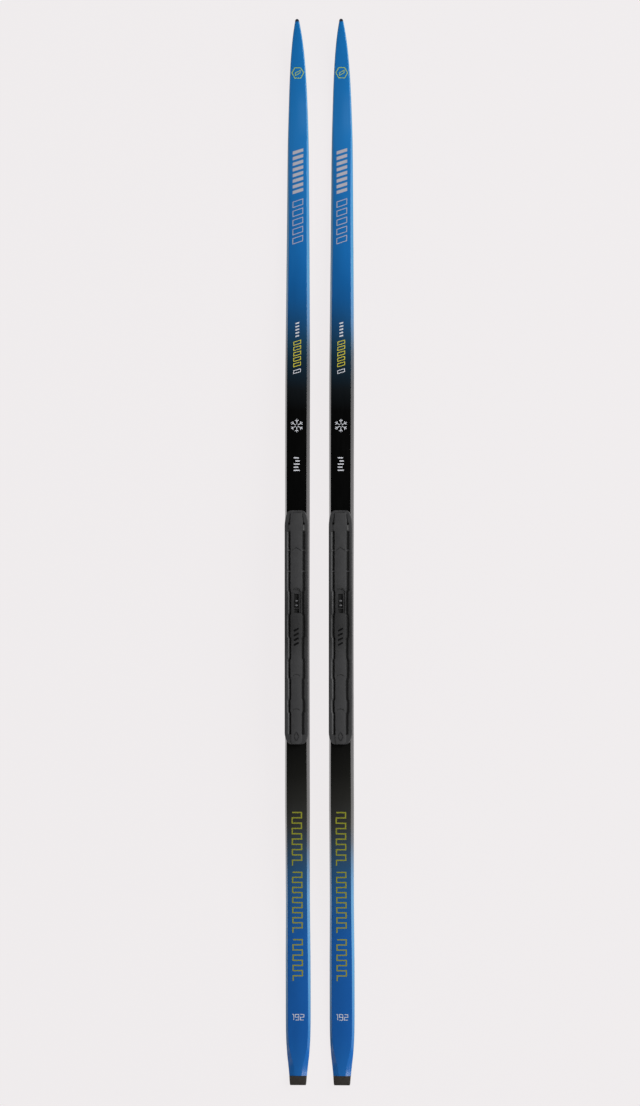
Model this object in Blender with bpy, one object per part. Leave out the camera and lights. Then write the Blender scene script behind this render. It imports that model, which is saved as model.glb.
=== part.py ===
"""A pair of cross country racing skis, each with a bare binding plate.

The skis lie base down, side by side, with their tips towards +Y. X is across, Y along and Z up.
The origin is midway between the two skis, at mid length, on the plane that they rest on.

Each ski is a bonded stack: a running base between two edge strips, a base laminate, a row of
cores, a top laminate, a cap over everything, and a guard at each end. All of these layers are
lofted through one shared set of stations along Y, so that neighbours keep an even gap.
"""

import math

import bmesh
import bpy
import numpy as np
from mathutils import Vector

# ---------------------------------------------------------------- driving dimensions, in metres

PAIR_PITCH = 0.0794            # from centre line to centre line
TIP_Y = 0.960                  # the ski is 1.92 m long
TAIL_Y = -TIP_Y
GAP = 0.0003                   # kept between pieces that touch

# The arch of the unloaded ski. The plate's seat is the flat stretch at its top.
CAMBER_HEIGHT = 0.022
SEAT = (-0.360, 0.092)
FRONT_CONTACT = (0.700, 0.765)
REAR_CONTACT = (-0.900, -0.850)
TIP_RISE = 0.030
TIP_CURL = 1.8                 # exponent of the upturn
TAIL_RISE = 0.005

# Half widths of the outline, as (y, half width).
OUTLINE = (
    (-0.9600, 0.0145), (-0.9435, 0.0159), (-0.9225, 0.0180), (-0.9080, 0.0197),
    (-0.8940, 0.0208), (-0.8790, 0.0217), (-0.8570, 0.0223), (-0.8250, 0.0225),
    (-0.7170, 0.0224), (-0.6500, 0.0217), (-0.5360, 0.0219), (-0.4500, 0.0223),
    (-0.3600, 0.0222), (-0.1340, 0.0218), (0.0950, 0.0222), (0.2750, 0.0223),
    (0.4560, 0.0213), (0.6360, 0.0198), (0.7270, 0.0190), (0.8170, 0.0165),
    (0.8530, 0.0149), (0.8890, 0.0126), (0.9180, 0.0097), (0.9400, 0.0067),
    (0.9555, 0.0039), (0.9600, 0.0030),
)

# Whole thickness, as (y, thickness). It is even along the seat.
THICKNESS = (
    (-0.960, 0.0056), (-0.930, 0.0062), (-0.900, 0.0074), (-0.850, 0.0092), (-0.700, 0.0138),
    (SEAT[0], 0.0240), (SEAT[1], 0.0240),
    (0.400, 0.0168), (0.660, 0.0100), (0.720, 0.0088), (0.850, 0.0066), (0.960, 0.0056),
)

# How far the cap's sloping flank leans in, as (y, lean). It sweeps inwards ahead of the tail.
FLANK_LEAN = (
    (-0.960, 0.0100), (-0.925, 0.0095), (-0.908, 0.0070), (-0.890, 0.0047), (-0.860, 0.0041),
    (0.550, 0.0041), (0.655, 0.0036), (0.727, 0.0028), (0.765, 0.0019), (0.850, 0.0014),
    (0.960, 0.0012),
)

MOST_LEAN = 0.6                # most of the half width that the flank may take

# The layers.
BASE_THICKNESS = 0.0016
GROOVE_DEPTH = 0.0009
GROOVE_HALF_WIDTH = 0.0040
GROOVE_FLOOR = 0.8             # share of the groove's width that its flat floor takes
GROOVE_SHARE = 0.4             # most of the base's half width that the groove may take
GROOVE_ENDS = ((-0.880, -0.840), (0.620, 0.690))     # the groove fades in and out along these
EDGE_WIDTH = 0.0025
EDGE_SHARE = 0.3               # most of the half width that an edge strip may take
EDGE_HEIGHT = 0.0022
SIDE_HEIGHT = 0.0034           # upright part of the side, below the flank
LAMINATE = 0.0005
CAP = 0.0006
REINFORCEMENT = 0.0008

# Where the pieces meet along the ski.
TAIL_GUARD_Y = -0.9437
TIP_GUARD_Y = 0.9556
CORE_JOINTS = (-0.865, -0.392, 0.112, 0.735)
REINFORCED = (-0.385, 0.105)

# The binding plate.
PLATE_FRONT = 0.0760
PLATE_REAR = -0.3444
PLATE_HALF_WIDTH = 0.0212
PLATE_RAIL = 0.0074            # height of the outer rails
PLATE_STRIP = 0.0084           # height of the middle strip
PLATE_CHAMFER = 0.0008
RAIL_SIDE_CHAMFER = 0.0022     # height of the chamfer along the rails' outer edges
END_SIDE_CHAMFER = 0.0014      # and round the plate's two ends
STRIP_TAPER = 0.0005           # how far each side of the strip leans in
CHANNEL_FLOOR = 0.0046
ADHESIVE = 0.0004
ADHESIVE_INSET = 0.0060        # of the adhesive's outline from the plate's
ADHESIVE_CORNER = 0.0060

# Half widths of the plate's two ends, as (distance from the end, half width).
PLATE_NOSE = ((0.0, 0.0116), (0.0010, 0.0145), (0.0030, 0.0166), (0.0060, 0.0180),
              (0.0160, 0.0203), (0.0240, PLATE_HALF_WIDTH))
PLATE_HEEL = ((0.0, 0.0111), (0.0024, 0.0155), (0.0064, 0.0180), (0.0110, 0.0194),
              (0.0154, PLATE_HALF_WIDTH))

# The channels beside the strip run in and out in steps: (half width of the strip,
# foot of the rail's slope, top of the rail's slope) where the channel is out and where it is in.
CHANNEL_OUT = (0.0110, 0.0128, 0.0163)
CHANNEL_IN = (0.0094, 0.0113, 0.0149)
CHANNEL_ENDS = (0.0390, -0.3275)
CHANNEL_STEP = 0.0034          # length of the slanting change from out to in
# Where the channel changes sides, from the nose back. It starts out.
CHANNEL_CHANGES = (-0.069, -0.111, -0.152, -0.191, -0.226, -0.264, -0.287)
# Low ribs that bridge the channel between the nose and the first change.
CHANNEL_RIBS = (0.005, -0.034)
RIB_LENGTH = 0.0024
RIB_DEPTH = 0.45               # depth that is left over a rib, as a share of the channel's

# The pocket in the strip, with a slot in its floor and two pegs in the slot.
POCKET_FRONT = -0.0655
POCKET_REAR = -0.1085
POCKET_HALF_WIDTH = 0.0080
POCKET_DEPTH = 0.0012
SLOT_Y = (-0.0990, -0.0740)
SLOT_HALF_WIDTH = 0.0032
SLOT_DEPTH = 0.0032
PEG_Y = (-0.0864, -0.0946)
PEG_RADIUS = 0.0016
PEG_ROOT = 0.0005              # how far a peg reaches into the slot's floor
NOSE_HOLE = (0.0128, 0.0520)   # x and y of the blind holes either side of the nose
NOSE_HOLE_RADIUS = 0.0014
NOSE_HOLE_DEPTH = 0.0030
CUT_ROOM = 0.0040              # how far a cutter stands above the plate
ROUND_SIDES = 16

# ---------------------------------------------------------------- materials

# Name: base colour, roughness, metallic.
MATERIALS = {
    "cap_blue": ((0.012, 0.120, 0.400, 1.0), 0.25, 0.0),
    "base_black": ((0.012, 0.012, 0.013, 1.0), 0.45, 0.0),
    "edge_black": ((0.020, 0.020, 0.021, 1.0), 0.50, 0.0),
    "laminate_carbon": ((0.030, 0.031, 0.034, 1.0), 0.40, 0.0),
    "core_foam": ((0.720, 0.640, 0.440, 1.0), 0.85, 0.0),
    "core_wood": ((0.560, 0.390, 0.210, 1.0), 0.70, 0.0),
    "filler_plastic": ((0.120, 0.120, 0.125, 1.0), 0.60, 0.0),
    "reinforcement_fibre": ((0.420, 0.450, 0.330, 1.0), 0.50, 0.0),
    "guard_plastic": ((0.040, 0.034, 0.028, 1.0), 0.50, 0.0),
    "adhesive_grey": ((0.180, 0.180, 0.180, 1.0), 0.80, 0.0),
    "plate_plastic": ((0.050, 0.050, 0.052, 1.0), 0.55, 0.0),
}


def material(name):
    """The Principled material of that name, made on first use."""
    made = bpy.data.materials.get(name)
    if made:
        return made
    colour, roughness, metallic = MATERIALS[name]
    made = bpy.data.materials.new(name)
    made.use_nodes = True
    shader = made.node_tree.nodes["Principled BSDF"]
    shader.inputs["Base Color"].default_value = colour
    shader.inputs["Roughness"].default_value = roughness
    shader.inputs["Metallic"].default_value = metallic
    made.diffuse_color = colour
    return made


# ---------------------------------------------------------------- the ski's shape along Y

def smooth_curve(points, y):
    """A smooth curve through points at y. It never overshoots them, so level runs stay level."""
    ys = [p[0] for p in points]
    values = [p[1] for p in points]
    slopes = [(values[i + 1] - values[i]) / (ys[i + 1] - ys[i]) for i in range(len(ys) - 1)]
    tangents = [slopes[0]]
    for before, after in zip(slopes, slopes[1:]):
        same_way = before * after > 0
        tangents.append(2 * before * after / (before + after) if same_way else 0.0)
    tangents.append(slopes[-1])
    i = min(max(int(np.searchsorted(ys, y)) - 1, 0), len(slopes) - 1)
    run = ys[i + 1] - ys[i]
    u = (y - ys[i]) / run
    start_weight = (1 + 2 * u) * (1 - u) ** 2
    end_weight = u * u * (3 - 2 * u)
    bend = u * (1 - u) ** 2 * tangents[i] - u * u * (1 - u) * tangents[i + 1]
    return start_weight * values[i] + end_weight * values[i + 1] + run * bend


def ease(u):
    """0 to 1 with level ends."""
    u = min(max(u, 0.0), 1.0)
    return u * u * (3 - 2 * u)


def base_height(y):
    """Height of the running surface: the arch, the tip's upturn and the tail's small rise."""
    if y > FRONT_CONTACT[1]:
        return TIP_RISE * ((y - FRONT_CONTACT[1]) / (TIP_Y - FRONT_CONTACT[1])) ** TIP_CURL
    if y < REAR_CONTACT[0]:
        return TAIL_RISE * ((REAR_CONTACT[0] - y) / (REAR_CONTACT[0] - TAIL_Y)) ** 2
    if y > SEAT[1]:
        return CAMBER_HEIGHT * (1 - ease((y - SEAT[1]) / (FRONT_CONTACT[0] - SEAT[1])))
    if y < SEAT[0]:
        return CAMBER_HEIGHT * (1 - ease((SEAT[0] - y) / (SEAT[0] - REAR_CONTACT[1])))
    return CAMBER_HEIGHT


def groove_depth(y):
    """Depth of the centre groove, which fades out towards both ends."""
    (rear_start, rear_full), (front_full, front_end) = GROOVE_ENDS
    rear = ease((y - rear_start) / (rear_full - rear_start))
    front = ease((front_end - y) / (front_end - front_full))
    return GROOVE_DEPTH * min(rear, front)


def station_list():
    """Every y that a layer has a section at, from tail to tip."""
    body_step = 0.056
    tip_step = 0.024
    crease_step = 0.006        # where the flank sweeps inwards
    crease_end = -0.882
    waist = -0.134
    room = 0.020               # kept between the evenly spaced sections and the next one
    stations = [TAIL_Y, TAIL_GUARD_Y, *REAR_CONTACT, *SEAT, waist]
    stations += list(np.arange(TAIL_GUARD_Y + crease_step, crease_end, crease_step))
    stations += [*CORE_JOINTS, *FRONT_CONTACT, TIP_GUARD_Y, TIP_Y]
    stations += list(GROOVE_ENDS[0]) + list(GROOVE_ENDS[1])
    stations += list(np.arange(REAR_CONTACT[1] + body_step, SEAT[0] - room, body_step))
    stations += list(np.arange(SEAT[1] + body_step, FRONT_CONTACT[0] - room, body_step))
    stations += list(np.arange(FRONT_CONTACT[1] + tip_step, TIP_GUARD_Y, tip_step))
    stations.sort()
    too_close = 0.004
    ends = (TAIL_Y, TAIL_GUARD_Y, TIP_GUARD_Y, TIP_Y)
    kept = [stations[0]]
    for y in stations[1:]:
        if y - kept[-1] > too_close or y in ends:
            kept.append(y)
    return kept


STATIONS = station_list()
SHAPE = {
    "half": [smooth_curve(OUTLINE, y) for y in STATIONS],
    "low": [base_height(y) for y in STATIONS],
    "thick": [smooth_curve(THICKNESS, y) for y in STATIONS],
    "lean": [smooth_curve(FLANK_LEAN, y) for y in STATIONS],
    "groove": [groove_depth(y) for y in STATIONS],
}


class Section:
    """The ski's outline across, at one y. Between stations it follows the straight lofts."""

    def __init__(self, y):
        value = {name: float(np.interp(y, STATIONS, row)) for name, row in SHAPE.items()}
        self.half = value["half"]
        self.low = value["low"]
        self.high = value["low"] + value["thick"]
        self.groove = value["groove"]
        self.edge = min(EDGE_WIDTH, EDGE_SHARE * self.half)
        self.fall = value["thick"] - SIDE_HEIGHT
        self.lean = min(value["lean"], MOST_LEAN * self.half)

    def shoulder(self, depth):
        """Where the flank meets the top, on the skin that lies depth under the outer one."""
        angle = math.atan2(self.lean, self.fall)
        x = self.half - self.lean - depth * math.tan((math.pi / 2 - angle) / 2)
        return x, self.high - depth

    def knee(self, depth):
        """Where the upright side meets the flank, on the skin depth under the outer one."""
        angle = math.atan2(self.lean, self.fall)
        return self.half - depth, self.high - self.fall - depth * math.tan(angle / 2)

    def reach(self, z, depth):
        """Half width of the room inside the skin at depth, at height z."""
        x, top = self.shoulder(depth)
        return min(self.half - depth, x + (top - z) * self.lean / self.fall)


# ---------------------------------------------------------------- making objects

def link(name, mesh, material_name, collection):
    """A new object of that mesh and material, in the collection."""
    mesh.materials.clear()
    mesh.materials.append(material(material_name))
    made = bpy.data.objects.new(name, mesh)
    collection.objects.link(made)
    return made


def loft_mesh(name, rings):
    """A closed mesh through rings of points, all with the same count, with flat ends."""
    mesh = bpy.data.meshes.new(name)
    shape = bmesh.new()
    rows = [[shape.verts.new(point) for point in ring] for ring in rings]
    for near, far in zip(rows, rows[1:]):
        for i in range(len(near)):
            j = (i + 1) % len(near)
            shape.faces.new((near[i], near[j], far[j], far[i]))
    shape.faces.new(rows[0])
    shape.faces.new(rows[-1])
    bmesh.ops.recalc_face_normals(shape, faces=shape.faces)
    shape.to_mesh(mesh)
    shape.free()
    return mesh


def ski_loft(name, start, end, outline):
    """Lofts outline(section), a list of (x, z), from start to end through the stations."""
    clear = 0.001
    inner = [y for y in STATIONS if start + clear < y < end - clear]
    rings = []
    for y in [start, *inner, end]:
        rings.append([(x, y, z) for x, z in outline(Section(y))])
    return loft_mesh(name, rings)


def mirrored(right_side):
    """A closed outline from its right half, listed from the bottom up."""
    return right_side + [(-x, z) for x, z in reversed(right_side)]


# ---------------------------------------------------------------- layers, from the base up

def running_base():
    def outline(s):
        half = s.half - s.edge - GAP
        groove = min(GROOVE_HALF_WIDTH, GROOVE_SHARE * half)
        floor = GROOVE_FLOOR * groove
        top = s.low + BASE_THICKNESS
        right = [(floor, s.low + s.groove), (groove, s.low), (half, s.low), (half, top)]
        return mirrored(right)
    return ski_loft("running_base", TAIL_GUARD_Y + GAP, TIP_GUARD_Y - GAP, outline)


def edge_strip(side):
    """The edge strip on one side: -1 is towards -X and +1 towards +X."""
    def outline(s):
        inner = s.half - s.edge
        top = s.low + EDGE_HEIGHT
        corners = [(inner, s.low), (s.half, s.low), (s.half, top), (inner, top)]
        return [(side * x, z) for x, z in corners]
    return ski_loft("edge_strip", TAIL_GUARD_Y + GAP, TIP_GUARD_Y - GAP, outline)


def base_laminate():
    def outline(s):
        half = s.half - s.edge - GAP
        bottom = s.low + BASE_THICKNESS + GAP
        return mirrored([(half, bottom), (half, bottom + LAMINATE)])
    return ski_loft("base_laminate", TAIL_GUARD_Y + GAP, TIP_GUARD_Y - GAP, outline)


def core(start, end, room_above):
    """A core that fills the ski between the laminates, less room_above under the top one."""
    knee_margin = 0.15         # share of the height kept between the knee and either face

    def outline(s):
        depth = CAP + GAP
        bottom = s.low + BASE_THICKNESS + GAP + LAMINATE + GAP
        top = s.high - CAP - GAP - LAMINATE - GAP - room_above
        margin = knee_margin * (top - bottom)
        middle = min(max(s.knee(depth)[1], bottom + margin), top - margin)
        return mirrored([(s.reach(z, depth), z) for z in (bottom, middle, top)])
    return ski_loft("core", start + GAP / 2, end - GAP / 2, outline)


def binding_reinforcement():
    def outline(s):
        top = s.high - CAP - GAP - LAMINATE - GAP
        half = s.reach(top, CAP + GAP)
        return mirrored([(half, top - REINFORCEMENT), (half, top)])
    return ski_loft("binding_reinforcement", *REINFORCED, outline)


def top_laminate():
    def outline(s):
        half, top = s.shoulder(CAP + GAP)
        return mirrored([(half, top - LAMINATE), (half, top)])
    return ski_loft("top_laminate", TAIL_GUARD_Y + GAP, TIP_GUARD_Y - GAP, outline)


def top_sheet():
    """The cap: top, flanks and upright sides in one skin, open below."""
    def outline(s):
        rim = s.low + EDGE_HEIGHT + GAP
        outer = [(s.half, rim), s.knee(0.0), s.shoulder(0.0)]
        inner = [s.shoulder(CAP), s.knee(CAP), (s.half - CAP, rim)]
        left_outer = [(-x, z) for x, z in reversed(outer)]
        left_inner = [(-x, z) for x, z in reversed(inner)]
        return outer + left_outer + left_inner + inner
    return ski_loft("top_sheet", TAIL_GUARD_Y + GAP, TIP_GUARD_Y - GAP, outline)


def guard(start, end, squeeze):
    """A solid end piece with chamfered corners.

    Squeeze lists its sections as (share of the way, width factor, height factor).
    """
    chamfer_share = 0.35
    rings = []
    for share, across, upward in squeeze:
        y = start + share * (end - start)
        s = Section(y)
        half = s.half * across
        middle = (s.low + s.high) / 2
        reach = (s.high - s.low) / 2 * upward
        chamfer = min(chamfer_share * reach, chamfer_share * half)
        right = [(half - chamfer, middle - reach), (half, middle - reach + chamfer),
                 (half, middle + reach - chamfer), (half - chamfer, middle + reach)]
        rings.append([(x, y, z) for x, z in mirrored(right)])
    return loft_mesh("guard", rings)


def tip_guard():
    squeeze = ((0.0, 1.0, 1.0), (0.45, 0.97, 0.96), (0.8, 0.80, 0.85), (1.0, 0.55, 0.65))
    return guard(TIP_GUARD_Y, TIP_Y, squeeze)


def tail_guard():
    squeeze = ((0.0, 1.0, 1.0), (0.85, 1.0, 0.98), (0.96, 0.985, 0.90), (1.0, 0.95, 0.78))
    return guard(TAIL_GUARD_Y, TAIL_Y, squeeze)


# ---------------------------------------------------------------- the binding plate

def seat_top():
    """Height of the ski's top along the plate's seat."""
    return Section(sum(SEAT) / 2).high


def plate_bottom():
    return seat_top() + GAP + ADHESIVE + GAP


def plate_half_width(y):
    """Half width of the plate's outline at y."""
    nose = PLATE_FRONT - y
    heel = y - PLATE_REAR
    ends = [np.interp(nose, *zip(*PLATE_NOSE)), np.interp(heel, *zip(*PLATE_HEEL))]
    return float(min(ends))


def channel_stations():
    """The plate's sections, nose first, as (y, channel shape, share of the full depth)."""
    front, rear = CHANNEL_ENDS
    half_step = CHANNEL_STEP / 2
    half_rib = RIB_LENGTH / 2
    stations = [(front, CHANNEL_OUT, 0.0), (front - CHANNEL_STEP, CHANNEL_OUT, 1.0)]
    for y in CHANNEL_RIBS:
        stations += [(y + 2 * half_rib, CHANNEL_OUT, 1.0), (y + half_rib, CHANNEL_OUT, RIB_DEPTH)]
        stations += [(y - half_rib, CHANNEL_OUT, RIB_DEPTH), (y - 2 * half_rib, CHANNEL_OUT, 1.0)]
    shapes = (CHANNEL_OUT, CHANNEL_IN)
    for i, y in enumerate(CHANNEL_CHANGES):
        stations.append((y + half_step, shapes[i % 2], 1.0))
        stations.append((y - half_step, shapes[(i + 1) % 2], 1.0))
    last = shapes[len(CHANNEL_CHANGES) % 2]
    return stations + [(rear + CHANNEL_STEP, last, 1.0), (rear, last, 0.0)]


def plate_blank():
    """The plate with its rails, strip and channels, before its pocket and holes are cut."""
    bottom = plate_bottom()
    stations = [(PLATE_FRONT - d, CHANNEL_OUT, 0.0) for d, _ in PLATE_NOSE]
    stations += channel_stations()
    stations += [(PLATE_REAR + d, CHANNEL_OUT, 0.0) for d, _ in reversed(PLATE_HEEL)]
    rings = []
    for y, (strip, foot, crest), depth in stations:
        half = plate_half_width(y)
        fit = min(1.0, (half - 2 * PLATE_CHAMFER) / crest)
        floor = PLATE_RAIL - depth * (PLATE_RAIL - CHANNEL_FLOOR)
        edge = RAIL_SIDE_CHAMFER if half >= PLATE_HALF_WIDTH else END_SIDE_CHAMFER
        right = [
            (half - PLATE_CHAMFER, 0.0),
            (half, PLATE_CHAMFER),
            (half, PLATE_RAIL - edge),
            (half - PLATE_CHAMFER, PLATE_RAIL),
            (crest * fit, PLATE_RAIL),
            (foot * fit, floor),
            (strip * fit, floor),
            ((strip - STRIP_TAPER) * fit, PLATE_STRIP),
        ]
        rings.append([(x, y, bottom + z) for x, z in mirrored(right)])
    return loft_mesh("binding_plate", rings)


def outline_mesh(name, points, low, high):
    """A flat outline in XY, filled and extruded from low to high, as a closed mesh."""
    weld_distance = 1e-6
    curve = bpy.data.curves.new(name, "CURVE")
    curve.dimensions = "2D"
    curve.fill_mode = "BOTH"
    curve.extrude = (high - low) / 2
    spline = curve.splines.new("POLY")
    spline.points.add(len(points) - 1)
    for target, (x, y) in zip(spline.points, points):
        target.co = (x, y, 0.0, 1.0)
    spline.use_cyclic_u = True
    holder = bpy.data.objects.new(name, curve)
    holder.location.z = (low + high) / 2
    bpy.context.scene.collection.objects.link(holder)
    bpy.context.view_layer.update()
    evaluated = holder.evaluated_get(bpy.context.evaluated_depsgraph_get())
    mesh = bpy.data.meshes.new_from_object(evaluated)
    mesh.transform(holder.matrix_world)
    bpy.data.objects.remove(holder)
    shape = bmesh.new()
    shape.from_mesh(mesh)
    bmesh.ops.remove_doubles(shape, verts=shape.verts, dist=weld_distance)
    bmesh.ops.recalc_face_normals(shape, faces=shape.faces)
    shape.to_mesh(mesh)
    shape.free()
    return mesh


def round_mesh(name, centre, radius, low, high):
    """An upright closed cylinder."""
    mesh = bpy.data.meshes.new(name)
    shape = bmesh.new()
    bmesh.ops.create_cone(shape, cap_ends=True, segments=ROUND_SIDES, radius1=radius,
                          radius2=radius, depth=high - low)
    bmesh.ops.translate(shape, verts=shape.verts, vec=Vector((*centre, (low + high) / 2)))
    shape.to_mesh(mesh)
    shape.free()
    return mesh


def pocket_outline():
    """The pocket's outline: a square end at the rear and an arch at the front."""
    arch_points = 9
    arch_rise = 0.0035
    points = [(-POCKET_HALF_WIDTH, POCKET_REAR), (POCKET_HALF_WIDTH, POCKET_REAR)]
    for i in range(arch_points):
        angle = math.pi * i / (arch_points - 1)
        x = POCKET_HALF_WIDTH * math.cos(angle)
        points.append((x, POCKET_FRONT - arch_rise + arch_rise * math.sin(angle)))
    return points


def box_outline(half_width, y_range):
    """A rectangle across the centre line."""
    low, high = y_range
    return [(-half_width, low), (half_width, low), (half_width, high), (-half_width, high)]


def plate_cutters():
    """Meshes that cut the pocket, its slot and the two nose holes out of the plate."""
    strip_top = plate_bottom() + PLATE_STRIP
    above = strip_top + CUT_ROOM
    yield outline_mesh("pocket_cutter", pocket_outline(), strip_top - POCKET_DEPTH, above)
    slot = box_outline(SLOT_HALF_WIDTH, SLOT_Y)
    yield outline_mesh("slot_cutter", slot, strip_top - SLOT_DEPTH, above)
    for side in (-1, 1):
        x, y = NOSE_HOLE
        low = strip_top - NOSE_HOLE_DEPTH
        yield round_mesh("nose_hole_cutter", (side * x, y), NOSE_HOLE_RADIUS, low, above)


def combine(target, mesh, operation, collection):
    """Joins or cuts the target object with mesh, and leaves the result in its own mesh."""
    tool = bpy.data.objects.new(mesh.name, mesh)
    tool.hide_render = True
    tool.display_type = "WIRE"
    collection.objects.link(tool)
    step = target.modifiers.new(operation.lower(), "BOOLEAN")
    step.operation = operation
    step.solver = "EXACT"
    step.object = tool
    bpy.context.view_layer.update()
    evaluated = target.evaluated_get(bpy.context.evaluated_depsgraph_get())
    result = bpy.data.meshes.new_from_object(evaluated)
    target.modifiers.remove(step)
    target.data = result
    bpy.data.objects.remove(tool)


def binding_plate(cutters):
    """The whole plate, with its pocket, slot, pegs and holes."""
    holder = bpy.data.objects.new("plate_blank", plate_blank())
    cutters.objects.link(holder)
    for cutter in plate_cutters():
        combine(holder, cutter, "DIFFERENCE", cutters)
    strip_top = plate_bottom() + PLATE_STRIP
    below_slot = strip_top - SLOT_DEPTH - PEG_ROOT
    for y in PEG_Y:
        peg = round_mesh("peg", (0.0, y), PEG_RADIUS, below_slot, strip_top - POCKET_DEPTH)
        combine(holder, peg, "UNION", cutters)
    mesh = holder.data
    bpy.data.objects.remove(holder)
    return mesh


def plate_adhesive():
    """The bonding layer under the plate: a thin slab with rounded corners."""
    bottom = seat_top() + GAP
    half = PLATE_HALF_WIDTH - ADHESIVE_INSET
    front = PLATE_FRONT - ADHESIVE_INSET
    rear = PLATE_REAR + ADHESIVE_INSET
    corner_points = 5
    points = []
    corners = ((half, front, 0), (-half, front, 1), (-half, rear, 2), (half, rear, 3))
    for x, y, quarter in corners:
        centre_x = x - math.copysign(ADHESIVE_CORNER, x)
        centre_y = y - ADHESIVE_CORNER if y == front else y + ADHESIVE_CORNER
        for i in range(corner_points):
            angle = math.pi / 2 * (quarter + i / (corner_points - 1))
            points.append((centre_x + ADHESIVE_CORNER * math.cos(angle),
                           centre_y + ADHESIVE_CORNER * math.sin(angle)))
    return outline_mesh("plate_adhesive", points, bottom, bottom + ADHESIVE)


# ---------------------------------------------------------------- assembly

def ski_pieces(cutters):
    """Every piece of one ski on its own centre line: (name, mesh, material name).

    The two edge strips come as side_edges, because which one is inner depends on the ski.
    """
    tail_joint, rear_joint, front_joint, tip_joint = CORE_JOINTS
    under_plate = REINFORCEMENT + GAP
    return [
        ("running_base", running_base(), "base_black"),
        ("base_laminate", base_laminate(), "laminate_carbon"),
        ("tail_filler", core(TAIL_GUARD_Y + GAP, tail_joint, 0.0), "filler_plastic"),
        ("core_rear", core(tail_joint, rear_joint, 0.0), "core_foam"),
        ("core_middle", core(rear_joint, front_joint, under_plate), "core_wood"),
        ("core_front", core(front_joint, tip_joint, 0.0), "core_foam"),
        ("tip_filler", core(tip_joint, TIP_GUARD_Y - GAP, 0.0), "filler_plastic"),
        ("binding_reinforcement", binding_reinforcement(), "reinforcement_fibre"),
        ("top_laminate", top_laminate(), "laminate_carbon"),
        ("top_sheet", top_sheet(), "cap_blue"),
        ("tip_guard", tip_guard(), "guard_plastic"),
        ("tail_guard", tail_guard(), "guard_plastic"),
        ("plate_adhesive", plate_adhesive(), "adhesive_grey"),
        ("binding_plate", binding_plate(cutters), "plate_plastic"),
    ]


def new_collection(name):
    made = bpy.data.collections.new(name)
    bpy.context.scene.collection.children.link(made)
    return made


def main():
    for old in list(bpy.data.objects):
        bpy.data.objects.remove(old)
    skis = new_collection("cross_country_skis")
    cutters = new_collection("cutters")
    pieces = ski_pieces(cutters)
    edges = {side: edge_strip(side) for side in (-1, 1)}
    for ski, side in (("left", -1), ("right", 1)):
        centre = bpy.data.objects.new(ski + "_ski", None)
        centre.location.x = side * PAIR_PITCH / 2
        skis.objects.link(centre)
        own = list(pieces)
        own.append(("outer_edge_strip", edges[side], "edge_black"))
        own.append(("inner_edge_strip", edges[-side], "edge_black"))
        for name, mesh, material_name in own:
            piece = link(f"{ski}_{name}", mesh, material_name, skis)
            piece.parent = centre
    bpy.context.view_layer.update()


main()
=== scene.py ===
"""Looks for a pair of cross country racing skis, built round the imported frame.

Every visible piece of a ski is a fine mesh that follows the sections of its own CAD node: the cap,
the running base, the edge strips, the two guards and the binding plate. The printed motifs are
thin closed solids laid on the cap. The layers inside the ski stay as CAD nodes.

Lengths are in metres. X is across, Y runs from tail to tip and Z is up.
"""

import math

import bmesh
import bpy
import numpy as np
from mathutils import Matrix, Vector
from mathutils.geometry import tessellate_polygon


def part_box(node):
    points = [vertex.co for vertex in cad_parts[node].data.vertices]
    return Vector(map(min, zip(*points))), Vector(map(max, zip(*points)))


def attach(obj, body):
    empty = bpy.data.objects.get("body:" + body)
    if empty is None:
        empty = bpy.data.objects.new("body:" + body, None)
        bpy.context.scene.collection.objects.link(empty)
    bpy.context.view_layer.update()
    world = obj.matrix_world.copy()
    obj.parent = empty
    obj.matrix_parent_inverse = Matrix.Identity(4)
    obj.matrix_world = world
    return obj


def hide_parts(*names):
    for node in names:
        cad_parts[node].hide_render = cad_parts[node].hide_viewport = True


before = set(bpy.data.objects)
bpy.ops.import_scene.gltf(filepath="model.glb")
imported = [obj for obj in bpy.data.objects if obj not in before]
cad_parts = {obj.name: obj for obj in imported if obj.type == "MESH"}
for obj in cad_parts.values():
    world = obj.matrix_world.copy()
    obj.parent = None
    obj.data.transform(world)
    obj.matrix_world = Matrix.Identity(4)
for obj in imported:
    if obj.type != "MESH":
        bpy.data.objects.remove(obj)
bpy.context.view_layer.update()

# ---------- camera

PICTURE_HEIGHT = 1.9954        # of the floor that the picture takes in, from top to bottom
LENS = 200.0                   # millimetres
SENSOR = 36.0                  # millimetres along the picture's long side
CAMERA_LEAN = math.radians(3.6)        # how far the camera stands towards +X
CAMERA_TARGET = Vector((-0.0005, -0.0006, 0.0))


def add_camera():
    """A long lens straight above the skis, leaning a little to the right."""
    data = bpy.data.cameras.new("camera")
    data.lens = LENS
    data.sensor_width = SENSOR
    data.clip_end = 100.0
    camera = bpy.data.objects.new("camera", data)
    distance = PICTURE_HEIGHT * LENS / SENSOR
    away = Vector((math.sin(CAMERA_LEAN), 0.0, math.cos(CAMERA_LEAN)))
    camera.location = CAMERA_TARGET + distance * away
    camera.rotation_euler = (0.0, CAMERA_LEAN, 0.0)
    bpy.context.scene.collection.objects.link(camera)
    bpy.context.scene.camera = camera


# ---------- material helpers

def linear(red, green, blue):
    """A screen colour, 0 to 255, as the linear colour that a shader takes."""
    values = []
    for part in (red, green, blue):
        share = part / 255
        values.append(share / 12.92 if share < 0.04045 else ((share + 0.055) / 1.055) ** 2.4)
    return (*values, 1.0)


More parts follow.
